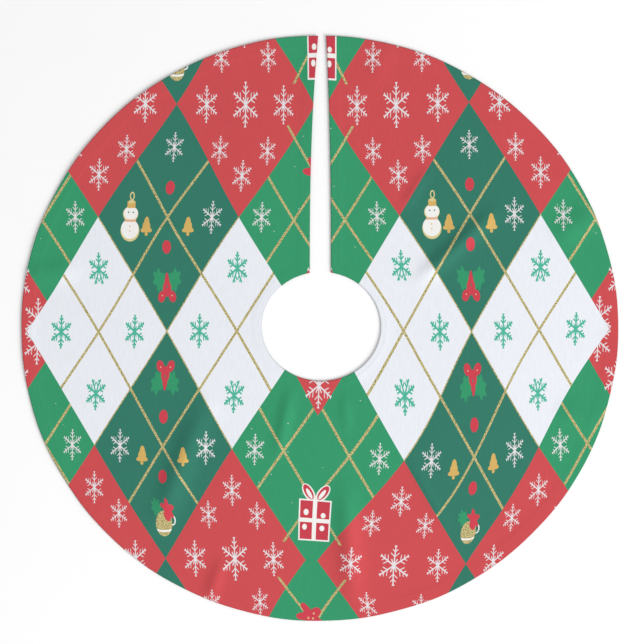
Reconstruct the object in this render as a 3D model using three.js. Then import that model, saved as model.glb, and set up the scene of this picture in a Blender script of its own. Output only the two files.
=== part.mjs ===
// A round fabric tree skirt lying flat on the floor, with its front slit at +Y.
//
// Frame: millimetres, +Z up, the floor at z = 0, the origin on the floor under the middle of the skirt's
// outline. A bearing is an angle in degrees measured clockwise from +Y, seen from above.
//
// The cloth is one flat ring with a slit. It is made here as three flat panels that meet at two radial fold
// lines, one on each side of the slit, so that the two flaps beside the slit can be folded back to let a
// trunk through. Hems, rows of stitching, ribbon ties and the label are pieces of their own.

import * as THREE from 'three';

// Outline of the cloth
const RIM_HALF_X = 562;
const RIM_HALF_Y = 551;
const NECK_HALF_X = 112;
const NECK_HALF_Y = 102.5;
const NECK_CENTRE = new THREE.Vector2(2.8, 3.4);
const SEGMENT_DEGREES = 3;

// Slit: how far each edge stands from the neck's centre line, at the neck and at the rim
const SLIT_EDGES = { left: { sign: -1, neck: 21.5, rim: 5.5 }, right: { sign: 1, neck: 18.4, rim: 9 } };
const SLIT_CURVE_POWER = 2.6;
const SLIT_STEPS = 14;

// Fold lines and the clearance that keeps neighbouring pieces apart
const FOLD_BEARING = 45;
const GAP = 0.3;

// Heights of the layers, from the floor up
const TACK_BOTTOM = 0;
const TACK_THICKNESS = 0.2;
const TIE_BOTTOM = 0.5;
const TIE_THICKNESS = 0.5;
const LABEL_BOTTOM = 0.9;
const LABEL_THICKNESS = 0.4;
const HEM_THICKNESS = 1.3;
const PANEL_BOTTOM = HEM_THICKNESS + GAP;
const PANEL_THICKNESS = 0.6;
const THREAD_BOTTOM = PANEL_BOTTOM + PANEL_THICKNESS + GAP;
const THREAD_THICKNESS = 0.3;

// Hems and the rows of stitching that hold them
const OUTER_HEM_WIDTH = 20;
const NECK_HEM_WIDTH = 12;
const SLIT_HEM_WIDTH = 16;
const THREAD_WIDTH = 0.8;
const THREAD_TO_FOLD = 6;
const THREAD_INSET = 3;

// Ribbon ties under the flaps, lying along the slit hem: one sewn near the neck, one near the rim
const TIE_LENGTH = 150;
const TIE_WIDTH = 12;
const TIE_TO_SLIT_HEM = 1;
const TIE_TACKS = { neck: { y: 150, points: 1 }, rim: { y: 486, points: -1 } };
const TACK_LENGTH = 8;
const TACK_WIDTH = 2;

// Blank label sewn against the inside of the outer hem, under the cloth
const LABEL_WIDTH = 30;
const LABEL_LENGTH = 45;
const LABEL_BEARING = 205;
const LABEL_TO_HEM = 1;

const radians = THREE.MathUtils.degToRad;

// Materials
const finish = (color, roughness) => new THREE.MeshStandardMaterial({ color, roughness, metalness: 0 });
const materials = {
  print: finish(0xcf4a52, 0.9),
  hem: finish(0xe8ebf5, 0.9),
  thread: finish(0xd8d4d6, 0.7),
  ribbon: finish(0xf2f0ea, 0.55),
  label: finish(0xf6f4ee, 0.6),
};

// Points of the cloth's outline: on the rim or the neck at a bearing, moved inwards or outwards by an offset
function rimPoint(bearing, inset = 0) {
  const angle = radians(bearing);
  return new THREE.Vector2((RIM_HALF_X - inset) * Math.sin(angle), (RIM_HALF_Y - inset) * Math.cos(angle));
}

function neckPoint(bearing, outset = 0) {
  const angle = radians(bearing);
  const x = (NECK_HALF_X + outset) * Math.sin(angle);
  const y = (NECK_HALF_Y + outset) * Math.cos(angle);
  return new THREE.Vector2(x, y).add(NECK_CENTRE);
}

// The bearing at which a curve (rimPoint or neckPoint) crosses a slit edge or a line parallel to it
function bearingAt(curve, offset, x) {
  let low = -90;
  let high = 90;
  while (high - low > 1e-9) {
    const middle = (low + high) / 2;
    if (curve(middle, offset).x < x) low = middle;
    else high = middle;
  }
  return low;
}

// Slit edge x at a height y: widest at the neck, and closing towards the rim on a smooth curve
function slitX(side, y, inside = 0) {
  const { sign, neck, rim } = SLIT_EDGES[side];
  const neckY = NECK_CENTRE.y + NECK_HALF_Y;
  const along = THREE.MathUtils.clamp((y - neckY) / (RIM_HALF_Y - neckY), 0, 1);
  const distance = neck + (rim - neck) * along ** SLIT_CURVE_POWER;
  return NECK_CENTRE.x + sign * (distance + inside);
}

// A slit edge, or a line beside it, from one arc of the cloth to another, as a list of points
function slitLine(side, inside, fromCurve, fromOffset, toCurve, toOffset) {
  const end = (curve, offset) => {
    let y = curve(0, offset).y;
    for (let pass = 0; pass < 8; pass += 1) {
      y = curve(bearingAt(curve, offset, slitX(side, y, inside)), offset).y;
    }
    return y;
  };
  const from = end(fromCurve, fromOffset);
  const to = end(toCurve, toOffset);
  const points = [];
  for (let step = 0; step <= SLIT_STEPS; step += 1) {
    const y = THREE.MathUtils.lerp(from, to, step / SLIT_STEPS);
    points.push(new THREE.Vector2(slitX(side, y, inside), y));
  }
  return points;
}

// An arc of the rim or the neck between two bearings, as a list of points
function arc(curve, offset, fromBearing, toBearing) {
  const steps = Math.max(1, Math.round(Math.abs(toBearing - fromBearing) / SEGMENT_DEGREES));
  const points = [];
  for (let step = 0; step <= steps; step += 1) {
    points.push(curve(THREE.MathUtils.lerp(fromBearing, toBearing, step / steps), offset));
  }
  return points;
}

// The bearing that stands a given distance clear of a fold line, on a curve
function clearOfFold(curve, offset, foldBearing, distance) {
  const radius = curve(foldBearing, offset).length();
  return foldBearing + THREE.MathUtils.radToDeg(distance / radius);
}

// A flat piece of cloth with the given outline
function flatSolid(outline, bottom, thickness) {
  const shape = new THREE.Shape(outline);
  const geometry = new THREE.ExtrudeGeometry(shape, { depth: thickness, bevelEnabled: false, steps: 1 });
  geometry.translate(0, 0, bottom);
  return geometry;
}

const skirt = new THREE.Group();

function addPiece(name, geometry, material) {
  const mesh = new THREE.Mesh(geometry, material.clone());
  mesh.name = name;
  skirt.add(mesh);
  return mesh;
}

// A strip between two arcs, both measured from the same curve
function arcStrip(curve, nearOffset, farOffset, fromBearings, toBearings) {
  const near = arc(curve, nearOffset, fromBearings[0], toBearings[0]);
  const far = arc(curve, farOffset, fromBearings[1], toBearings[1]);
  return [...near, ...far.reverse()];
}

// Both ends of a strip that runs from one fold line round to another, at its two offsets
function foldEnds(curve, offsets, foldBearing, distance) {
  return offsets.map((offset) => clearOfFold(curve, offset, foldBearing, distance));
}

// Main panel: from the right-hand fold line round the back to the left-hand one
function buildMainPanel() {
  const from = FOLD_BEARING;
  const to = 360 - FOLD_BEARING;
  const neckEnds = [clearOfFold(neckPoint, 0, from, GAP / 2), clearOfFold(neckPoint, 0, to, -GAP / 2)];
  const rimEnds = [clearOfFold(rimPoint, 0, from, GAP / 2), clearOfFold(rimPoint, 0, to, -GAP / 2)];
  const outline = [...arc(rimPoint, 0, ...rimEnds), ...arc(neckPoint, 0, ...neckEnds).reverse()];
  addPiece('printed_panel', flatSolid(outline, PANEL_BOTTOM, PANEL_THICKNESS), materials.print);
}

// A hem or a row of stitching round the main panel, between two offsets from the rim or the neck
function buildMainStrip(name, curve, offsets, bottom, thickness, material, clearance) {
  const from = foldEnds(curve, offsets, FOLD_BEARING, clearance);
  const to = foldEnds(curve, offsets, 360 - FOLD_BEARING, -clearance);
  addPiece(name, flatSolid(arcStrip(curve, ...offsets, from, to), bottom, thickness), material);
}

// The label lies just inside the outer hem, under the cloth
function buildCareLabel() {
  const shape = new THREE.Shape();
  shape.moveTo(-LABEL_WIDTH / 2, 0);
  shape.lineTo(LABEL_WIDTH / 2, 0);
  shape.lineTo(LABEL_WIDTH / 2, LABEL_LENGTH);
  shape.lineTo(-LABEL_WIDTH / 2, LABEL_LENGTH);
  const label = new THREE.ExtrudeGeometry(shape, { depth: LABEL_THICKNESS, bevelEnabled: false, steps: 1 });
  const mesh = addPiece('care_label', label, materials.label);
  const foot = rimPoint(LABEL_BEARING, OUTER_HEM_WIDTH + LABEL_TO_HEM);
  mesh.position.set(foot.x, foot.y, LABEL_BOTTOM);
  mesh.rotation.z = radians(180 - LABEL_BEARING);
}

// One flap: its panel, its three hems, their stitching, and the three ties under it
function buildFlap(side) {
  const { sign } = SLIT_EDGES[side];
  const fold = sign * FOLD_BEARING;
  const foldSide = -sign * (GAP / 2);

  // A strip along the rim or the neck, from the slit side to the fold line
  const arcPiece = (name, curve, offsets, slitInside, toFold, bottom, thickness, material) => {
    const startBearing = (offset) => {
      let bearing = 0;
      for (let pass = 0; pass < 8; pass += 1) {
        bearing = bearingAt(curve, offset, slitX(side, curve(bearing, offset).y, slitInside));
      }
      return bearing;
    };
    const from = offsets.map(startBearing);
    const to = foldEnds(curve, offsets, fold, -sign * toFold);
    addPiece(name, flatSolid(arcStrip(curve, ...offsets, from, to), bottom, thickness), material);
    return { from, to };
  };

  // A strip along the slit edge, from near the neck to near the rim
  const slitPiece = (name, insides, neckOutset, rimInset, bottom, thickness, material) => {
    const near = slitLine(side, insides[0], neckPoint, neckOutset, rimPoint, rimInset);
    const far = slitLine(side, insides[1], neckPoint, neckOutset, rimPoint, rimInset);
    addPiece(name, flatSolid([...near, ...far.reverse()], bottom, thickness), material);
  };

  const edge = slitLine(side, 0, neckPoint, 0, rimPoint, 0);
  const rimStart = bearingAt(rimPoint, 0, edge.at(-1).x);
  const neckStart = bearingAt(neckPoint, 0, edge[0].x);
  const rimArc = arc(rimPoint, 0, rimStart, clearOfFold(rimPoint, 0, fold, foldSide));
  const neckArc = arc(neckPoint, 0, neckStart, clearOfFold(neckPoint, 0, fold, foldSide));
  const outline = [...edge, ...rimArc.slice(1), ...neckArc.slice(1).reverse()];
  addPiece(`${side}_flap_panel`, flatSolid(outline, PANEL_BOTTOM, PANEL_THICKNESS), materials.print);

  const hem = [0, HEM_THICKNESS, materials.hem];
  const thread = [THREAD_BOTTOM, THREAD_THICKNESS, materials.thread];
  const besideSlitHem = SLIT_HEM_WIDTH + GAP;
  const rimRow = [OUTER_HEM_WIDTH - THREAD_INSET, OUTER_HEM_WIDTH - THREAD_INSET - THREAD_WIDTH];
  const neckRow = [NECK_HEM_WIDTH - THREAD_INSET, NECK_HEM_WIDTH - THREAD_INSET - THREAD_WIDTH];
  const slitRow = [SLIT_HEM_WIDTH - THREAD_INSET - THREAD_WIDTH, SLIT_HEM_WIDTH - THREAD_INSET];
  const besideSlitRow = SLIT_HEM_WIDTH - THREAD_INSET + GAP;
  arcPiece(`${side}_outer_hem`, rimPoint, [0, OUTER_HEM_WIDTH], besideSlitHem, GAP / 2, ...hem);
  arcPiece(`${side}_neck_hem`, neckPoint, [0, NECK_HEM_WIDTH], besideSlitHem, GAP / 2, ...hem);
  slitPiece(`${side}_slit_hem`, [0, SLIT_HEM_WIDTH], 0, 0, ...hem);
  arcPiece(`${side}_outer_hem_stitching`, rimPoint, rimRow, besideSlitRow, THREAD_TO_FOLD, ...thread);
  arcPiece(`${side}_neck_hem_stitching`, neckPoint, neckRow, besideSlitRow, THREAD_TO_FOLD, ...thread);
  slitPiece(`${side}_slit_hem_stitching`, slitRow, THREAD_INSET, THREAD_INSET, ...thread);

  Object.keys(TIE_TACKS).forEach((station) => buildTie(side, station));
}

// A ribbon tie: a strip with a round end about its tack and a slanted cut at its free end, lying along the
// slit hem under the flap, and the bar of thread across its round end
function buildTie(side, station) {
  const { y, points } = TIE_TACKS[station];
  const neckmostY = Math.min(y, y + points * TIE_LENGTH);
  const x = slitX(side, neckmostY, SLIT_HEM_WIDTH + TIE_TO_SLIT_HEM + TIE_WIDTH / 2);
  const half = TIE_WIDTH / 2;

  const shape = new THREE.Shape();
  shape.moveTo(0, -half);
  shape.lineTo(TIE_LENGTH - TIE_WIDTH, -half);
  shape.lineTo(TIE_LENGTH, half);
  shape.lineTo(0, half);
  shape.absarc(0, 0, half, Math.PI / 2, 3 * Math.PI / 2, false);
  const options = { depth: TIE_THICKNESS, bevelEnabled: false, steps: 1, curveSegments: 8 };
  const tie = addPiece(`${side}_${station}_tie`, new THREE.ExtrudeGeometry(shape, options), materials.ribbon);
  tie.position.set(x, y, TIE_BOTTOM);
  tie.rotation.z = points * Math.PI / 2;

  const bar = new THREE.BoxGeometry(TACK_LENGTH, TACK_WIDTH, TACK_THICKNESS);
  const tack = addPiece(`${side}_${station}_tie_tack`, bar, materials.thread);
  tack.position.set(x, y, TACK_BOTTOM + TACK_THICKNESS / 2);
}

const outerRow = [OUTER_HEM_WIDTH - THREAD_INSET, OUTER_HEM_WIDTH - THREAD_INSET - THREAD_WIDTH];
const neckRow = [NECK_HEM_WIDTH - THREAD_INSET, NECK_HEM_WIDTH - THREAD_INSET - THREAD_WIDTH];
const hemLayer = [0, HEM_THICKNESS, materials.hem, GAP / 2];
const threadLayer = [THREAD_BOTTOM, THREAD_THICKNESS, materials.thread, THREAD_TO_FOLD];

buildMainPanel();
buildMainStrip('outer_hem', rimPoint, [0, OUTER_HEM_WIDTH], ...hemLayer);
buildMainStrip('neck_hem', neckPoint, [0, NECK_HEM_WIDTH], ...hemLayer);
buildMainStrip('outer_hem_stitching', rimPoint, outerRow, ...threadLayer);
buildMainStrip('neck_hem_stitching', neckPoint, neckRow, ...threadLayer);
buildCareLabel();
buildFlap('left');
buildFlap('right');

export default skirt;
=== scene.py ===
import math
from functools import partial

import bpy
import numpy as np
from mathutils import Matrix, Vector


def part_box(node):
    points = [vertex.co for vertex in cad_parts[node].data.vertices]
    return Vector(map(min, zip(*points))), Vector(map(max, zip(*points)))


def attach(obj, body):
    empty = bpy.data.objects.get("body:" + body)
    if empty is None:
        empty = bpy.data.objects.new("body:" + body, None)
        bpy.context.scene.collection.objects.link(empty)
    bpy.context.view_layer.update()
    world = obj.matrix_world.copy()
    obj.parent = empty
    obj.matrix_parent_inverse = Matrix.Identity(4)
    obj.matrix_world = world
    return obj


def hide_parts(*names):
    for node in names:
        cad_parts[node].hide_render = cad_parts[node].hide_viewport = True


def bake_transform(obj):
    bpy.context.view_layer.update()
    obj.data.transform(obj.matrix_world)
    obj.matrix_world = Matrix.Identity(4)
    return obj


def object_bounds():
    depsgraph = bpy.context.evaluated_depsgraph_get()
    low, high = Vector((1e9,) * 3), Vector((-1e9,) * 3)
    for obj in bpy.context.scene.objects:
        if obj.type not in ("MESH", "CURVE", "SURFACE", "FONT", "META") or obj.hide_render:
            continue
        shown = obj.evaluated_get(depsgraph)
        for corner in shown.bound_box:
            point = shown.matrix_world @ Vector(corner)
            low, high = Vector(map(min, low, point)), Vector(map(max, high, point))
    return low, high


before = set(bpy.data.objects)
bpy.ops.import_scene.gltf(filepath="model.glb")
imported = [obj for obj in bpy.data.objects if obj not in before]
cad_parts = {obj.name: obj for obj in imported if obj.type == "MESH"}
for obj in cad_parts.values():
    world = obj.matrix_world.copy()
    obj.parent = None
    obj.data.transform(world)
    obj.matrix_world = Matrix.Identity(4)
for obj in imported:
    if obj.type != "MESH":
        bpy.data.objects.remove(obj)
cad_low, cad_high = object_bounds()

# ---------------------------------------------------------------- cloth dimensions, metres

# Widths turned under at the edges, and how far in from each hem's inner edge its stitches run
OUTER_HEM = 0.020
NECK_HEM = 0.012
SLIT_HEM = 0.016
STITCH_INSET = 0.0034

# Outline, from the frame: the rim is an ellipse round the origin, the neck one round its own centre
RIM_HALF = np.array([cad_high.x, cad_high.y])
neck_low, neck_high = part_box("neck_hem")
FOLD = math.radians(45)
NECK_HALF = np.array([
    (neck_high.x - neck_low.x) / 2,
    (neck_high.y - neck_low.y) / (1 + math.cos(FOLD)),
]) - NECK_HEM
NECK_CENTRE = np.array([(neck_high.x + neck_low.x) / 2, neck_low.y + NECK_HALF[1] + NECK_HEM])

# Slit: how far each edge stands from the neck's centre line at the neck and at the rim
left_low, left_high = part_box("left_slit_hem")
right_low, right_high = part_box("right_slit_hem")
SIGN = {"left": -1, "right": 1}
SLIT = {
    "left": (NECK_CENTRE[0] - left_low.x - SLIT_HEM, NECK_CENTRE[0] - left_high.x),
    "right": (right_high.x - NECK_CENTRE[0] - SLIT_HEM, right_low.x - NECK_CENTRE[0]),
}
SLIT_CURVE = 2.6

# Heights: the cloth's upper face, one layer's thickness, three layers at a hem, and the roll of an edge
CLOTH_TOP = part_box("printed_panel")[1].z
LAYER = 0.0006
HEM_LAYERS = 0.0019
EDGE_ROLL = 0.0009
HEM_RISE = 0.0006
STITCH_DIP = 0.00015

# The flap bends over this width of cloth, beginning at its fold line
BEND = 0.028

# Stitches: from one to the next, length of each, and the thread's diameter
STITCH_SPACING = 0.0032
STITCH_LENGTH = 0.0026
THREAD = 0.00035

# How far in from its edge each row of stitches runs, and the angle that two rows leave free at a fold line
RIM_ROW = OUTER_HEM - STITCH_INSET
NECK_ROW = NECK_HEM - STITCH_INSET
SLIT_ROW = SLIT_HEM - STITCH_INSET
RIM_ROW_GAP = 0.006
NECK_ROW_GAP = 0.03


# ---------------------------------------------------------------- outline and heights

# The rim isn't cut quite true: at most this share of its radius is missing
RIM_WAVER = 0.0024


def waver(bearing):
    """Share of the radius missing at a bearing: two slow sines, from 0 to RIM_WAVER."""
    return RIM_WAVER * (0.5 + 0.3 * np.sin(11 * bearing + 0.5) + 0.2 * np.sin(24 * bearing + 2.0))


def rim_point(bearing):
    """Ellipse of half-axes RIM_HALF about the origin, at a bearing clockwise from +Y, less its waver."""
    reach = 1 - waver(bearing)
    return np.stack([RIM_HALF[0] * np.sin(bearing) * reach, RIM_HALF[1] * np.cos(bearing) * reach], -1)


def neck_point(bearing):
    """Ellipse of half-axes NECK_HALF about the neck's centre, at a bearing clockwise from +Y."""
    return NECK_CENTRE + np.stack([NECK_HALF[0] * np.sin(bearing), NECK_HALF[1] * np.cos(bearing)], -1)


def ring_point(bearing, out):
    """Straight line from the neck (out 0) to the rim (out 1) at one bearing."""
    out = np.asarray(out)[..., None]
    return (1 - out) * neck_point(bearing) + out * rim_point(bearing)


def slit_x(side, y):
    """Slit edge: neck distance plus the change to the rim distance times (way along) to the power 2.6."""
    neck_y = NECK_CENTRE[1] + NECK_HALF[1]
    along = np.clip((y - neck_y) / (RIM_HALF[1] - neck_y), 0, 1)
    neck, rim = SLIT[side]
    return NECK_CENTRE[0] + SIGN[side] * (neck + (rim - neck) * along**SLIT_CURVE)


def slit_bearing(side, out):
    """Bearing where the ring line of each out meets the slit edge, by repeatedly substituting its height."""
    bearing = np.zeros_like(out)
    for _ in range(12):
        reach = (1 - out) * NECK_HALF[0] + out * RIM_HALF[0] * (1 - waver(bearing))
        y = ring_point(bearing, out)[..., 1]
        bearing = np.arcsin((slit_x(side, y) - (1 - out) * NECK_CENTRE[0]) / reach)
    return bearing


def smooth(value, low, high):
    """0 at low, 1 at high, and an S-curve between."""
    t = np.clip((value - low) / (high - low), 0, 1)
    return t * t * (3 - 2 * t)


def edge_distances(x, y):
    """Distance in from the rim and from the neck, along the line to the ellipse's centre, and from the
    nearer slit edge, along x. Where there is no slit, the last is 1."""
    angle = np.arctan2(x / RIM_HALF[0], y / RIM_HALF[1])
    share = np.hypot(x / RIM_HALF[0], y / RIM_HALF[1]) / (1 - waver(angle))
    rim = np.hypot(*np.moveaxis(rim_point(angle), -1, 0)) * (1 - share)
    dx, dy = x - NECK_CENTRE[0], y - NECK_CENTRE[1]
    scale = np.hypot(dx / NECK_HALF[0], dy / NECK_HALF[1])
    neck = np.hypot(dx, dy) * (1 - 1 / scale)
    left, right = slit_x("left", y) - x, x - slit_x("right", y)
    slit = np.where(y > 0, np.maximum(left, right), 1.0)
    return np.maximum(rim, 0), np.maximum(neck, 0), np.maximum(slit, 0)


# Soft folds left from packing: bearing in degrees and radius of each end, width and height
SOFT_FOLDS = (
    ((238, 0.250), (219, 0.490), 0.022, 0.0074),
    ((65, 0.200), (56, 0.410), 0.016, 0.0062),
    ((171, 0.290), (173, 0.530), 0.021, 0.0066),
    ((206, 0.125), (198, 0.255), 0.013, 0.0040),
    ((160, 0.130), (165, 0.205), 0.011, 0.0022),
    ((146, 0.300), (147, 0.440), 0.010, 0.0024),
    ((35, 0.270), (34, 0.370), 0.011, 0.0026),
    ((203, 0.470), (202, 0.560), 0.013, 0.0034),
    ((69, 0.470), (67, 0.570), 0.024, 0.0042),
    ((108, 0.470), (110, 0.570), 0.020, 0.0032),
    ((284, 0.460), (280, 0.570), 0.020, 0.0032),
    ((306, 0.300), (300, 0.400), 0.014, 0.0022),
    ((12, 0.470), (14, 0.560), 0.018, 0.0022),
)


def ripples(x, y):
    """Height of the waves. Lobes round the rim are two sines of the bearing, which die inwards with the cube
    of the way out. Broad swells are two sines that turn with the way out and fade at both edges. A soft
    straight fold is a bell curve across its line, which fades at both of its ends."""
    theta = np.arctan2(x, y)
    rim, neck, slit = edge_distances(x, y)
    outward = np.clip(neck / (neck + rim + 1e-9), 0, 1)
    lobes = 1 + 0.6 * np.sin(19 * theta + 0.8) + 0.4 * np.sin(31 * theta + 2.1 + 2 * np.sin(3 * theta))
    swell = 1 + 0.5 * np.sin(3 * theta + 1.2 + 3 * outward) + 0.5 * np.sin(5 * theta - 0.7 - 4 * outward)
    height = 0.0005 * lobes * outward**3 + 0.0008 * swell * np.sin(np.pi * outward) ** 2
    for (b0, r0), (b1, r1), width, rise in SOFT_FOLDS:
        b0, b1 = math.radians(b0), math.radians(b1)
        start = np.array([r0 * math.sin(b0), r0 * math.cos(b0)])
        end = np.array([r1 * math.sin(b1), r1 * math.cos(b1)])
        run = end - start
        t = ((x - start[0]) * run[0] + (y - start[1]) * run[1]) / (run @ run)
        across = ((x - start[0]) * run[1] - (y - start[1]) * run[0]) / math.sqrt(run @ run)
        fade = smooth(t, -0.1, 0.35) * smooth(1.1 - t, 0, 0.5)
        height = height + rise * fade * np.exp(-(across / width) ** 2)
    return height


def cloth_faces(x, y):
    """Upper and lower face at (x, y). The upper one is raised a little at the hems and dips along the
    stitches. The lower one is three layers down at a hem and one layer elsewhere. Both meet in a half round
    at an edge."""
    rim, neck, slit = edge_distances(x, y)
    edge = np.minimum(np.minimum(rim, neck), slit)
    into = np.minimum(np.minimum(rim - OUTER_HEM, neck - NECK_HEM), slit - SLIT_HEM)
    top = CLOTH_TOP + HEM_RISE * (1 - smooth(into, -0.002, 0.010)) + ripples(x, y)
    for distance, width in ((rim, OUTER_HEM), (neck, NECK_HEM), (slit, SLIT_HEM)):
        row = (distance - (width - STITCH_INSET)) / 0.0011
        top = top - STITCH_DIP * np.exp(-row * row)
    thickness = LAYER + (HEM_LAYERS - LAYER) * (1 - smooth(into, -0.0003, 0.0003))
    middle = top - thickness / 2
    roll = np.sqrt(np.clip(1 - (1 - np.clip(edge / EDGE_ROLL, 0, 1)) ** 2, 0, 1))
    return middle + roll * thickness / 2, middle - roll * thickness / 2


# Distances in from an edge where the cloth needs points: on its roll, at the stitches (from their row), and
# at the hem's inner edge (from that edge)
ROLL_STATIONS = np.array([0, 0.0001, 0.0004, 0.0009, 0.002, 0.0045])
ROW_STATIONS = np.array([-0.0030, -0.0011, 0, 0.0011])
STEP_STATIONS = np.array([-0.0004, 0.0004, 0.004, 0.010])


def stations(hem):
    """The distances above for one hem's width, from its edge inwards."""
    return np.concatenate([ROLL_STATIONS, hem - STITCH_INSET + ROW_STATIONS, hem + STEP_STATIONS])


def outward_grid(bearing, count=44):
    """For each bearing, the ways out (0 neck, 1 rim) of every column: by real distance at the two hems, and
    evenly between them."""
    length = np.linalg.norm(rim_point(bearing) - neck_point(bearing), axis=-1)[:, None]
    inner = stations(NECK_HEM)[None] / length
    outer = 1 - stations(OUTER_HEM)[::-1][None] / length
    middle = np.linspace(0, 1, count + 2)[1:-1]
    return np.concatenate([inner, inner[:, -1:] + (outer[:, :1] - inner[:, -1:]) * middle, outer], 1)


def quads(index):
    """Four corners for each cell of a grid of point numbers."""
    return np.stack([index[:-1, :-1], index[1:, :-1], index[1:, 1:], index[:-1, 1:]], -1).reshape(-1, 4)


def mesh_object(name, points, faces):
    """An object at the origin from points and faces, shaded smooth and sharp only at real corners."""
    mesh = bpy.data.meshes.new(name)
    mesh.from_pydata(np.asarray(points).tolist(), [], faces)
    mesh.update()
    mesh.shade_smooth()
    mesh.set_sharp_from_angle(angle=math.radians(50))
    obj = bpy.data.objects.new(name, mesh)
    bpy.context.scene.collection.objects.link(obj)
    return obj


def corner_map(obj, name, places):
    """A UV map from the flat place of every face corner."""
    layer = obj.data.uv_layers.new(name=name)
    layer.data.foreach_set("uv", places.astype(np.float32).ravel())


def point_map(obj, name, places):
    """A UV map from the flat place of every point."""
    corners = np.zeros(len(obj.data.loops), np.int32)
    obj.data.loops.foreach_get("vertex_index", corners)
    corner_map(obj, name, places[corners])


def cloth_mesh(name, points, spread, finished=None):
    """Two layers over one grid whose rows run clockwise and whose columns run outwards. Both layers share
    the points on a finished edge, and plain walls close the others. The map named cloth holds flat metres.
    Where the cloth is turned under at a hem, the map runs on past the edge, by as much as the point lies in
    from it. The map named OFBake takes its square's corner and side and the place of the underside."""
    x, y = points[..., 0], points[..., 1]
    rows, columns = x.shape
    top = np.arange(rows * columns).reshape(rows, columns)
    shared = np.zeros((rows, columns), bool)
    shared[:, [0, -1]] = True
    if finished is not None:
        shared[finished] = True
    bottom = np.where(shared, top, top + rows * columns)

    distances = np.stack(edge_distances(x, y))
    past_hem = distances - np.array([OUTER_HEM, NECK_HEM, SLIT_HEM])[:, None, None]
    nearest = past_hem.argmin(0)[None]
    in_hem = past_hem.min(0) < 0.0002
    into = np.take_along_axis(distances, nearest, 0)[0]
    nudge = 1e-5
    slopes = [np.stack(edge_distances(x + dx, y + dy)) for dx, dy in ((nudge, 0), (0, nudge))]
    inwards = np.stack([np.take_along_axis(slope, nearest, 0)[0] - into for slope in slopes], -1)
    inwards /= np.linalg.norm(inwards, axis=-1, keepdims=True) + 1e-12
    flat = points.reshape(-1, 2)
    turned = np.where(in_hem[..., None], points - 2 * into[..., None] * inwards, points).reshape(-1, 2)

    cells = quads(top)
    upper, lower = cells, quads(bottom)[:, ::-1]
    walls = []
    for row, turn in ((0, 1), (-1, -1)):
        if finished != row:
            high, low = top[row], bottom[row]
            above = np.stack([high[:-1], high[1:], low[1:]], -1)
            below = np.stack([high[:-1], low[1:], low[:-1]], -1)
            wall = np.concatenate([above, below])
            wall = wall[(wall[:, 0] != wall[:, 2]) & (wall[:, 1] != wall[:, 2])]
            walls.append(wall[:, ::turn])
    walls = np.concatenate(walls)

    heights = cloth_faces(x, y)
    corners = np.concatenate([np.dstack([x, y, z]).reshape(-1, 3) for z in heights])
    maps = [flat[cells], turned[cells][:, ::-1], flat[walls % (rows * columns)]]
    slots = [np.zeros(len(upper)), np.where(in_hem.reshape(-1)[cells].all(1), 0, 1), np.ones(len(walls))]
    corners_of_all = np.concatenate([upper.ravel(), lower.ravel(), walls.ravel()])
    used, numbers = np.unique(corners_of_all, return_inverse=True)
    split = 4 * (len(upper) + len(lower))
    faces = numbers[:split].reshape(-1, 4).tolist() + numbers[split:].reshape(-1, 3).tolist()
    obj = mesh_object(name, corners[used], faces)
    corner_map(obj, "cloth", np.concatenate([part.reshape(-1, 2) for part in maps]))
    corner, side_length, under_place = spread
    square = (flat - corner) / side_length
    under = (under_place + UNDERSIDE_SCALE * (flat - corner) - corner) / side_length
    maps = [square[cells], under[cells][:, ::-1], square[walls % (rows * columns)]]
    corner_map(obj, "OFBake", np.concatenate([part.reshape(-1, 2) for part in maps]))
    obj.data.polygons.foreach_set("material_index", np.concatenate(slots).astype(np.int32))
    from_edge = np.tile(distances.min(0).ravel(), 2)[used]
    attribute = obj.data.attributes.new("from_edge", "FLOAT", "POINT")
    attribute.data.foreach_set("value", from_edge.astype(np.float32))
    return obj


# ---------------------------------------------------------------- cloth pieces

# Each cloth's upper face lies flat in a square, and its plain underside, at this scale, in the part of the
# square that the upper face leaves empty. Half the body's square, then the place of its underside; the side
# of a flap's square, its lower edge, and the place of its underside, metres
UNDERSIDE_SCALE = 0.4
BODY_SQUARE_HALF = 0.575
MISSING_QUARTER = np.array([0, 0.586 * RIM_HALF[1]])
FLAP_SQUARE = 0.49
FLAP_SQUARE_LOW = 0.075
FLAP_UNDERSIDE = (0.310, 0.090)

# How many bearings the body's cloth has, how many rows of a flap lie between its bend and its slit hem, and
# how many in its bend
BODY_ROWS = 541
FLAP_ROWS = 44
BEND_ROWS = 18


def main_cloth():
    """The three quarters of the ring from one fold line round to the other."""
    bearing = np.linspace(FOLD, 2 * math.pi - FOLD, BODY_ROWS)
    corner = np.array([-BODY_SQUARE_HALF, -BODY_SQUARE_HALF])
    spread = (corner, 2 * BODY_SQUARE_HALF, MISSING_QUARTER - UNDERSIDE_SCALE * BODY_SQUARE_HALF)
    return cloth_mesh("skirt_cloth", ring_point(bearing[:, None], outward_grid(bearing)), spread)


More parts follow.
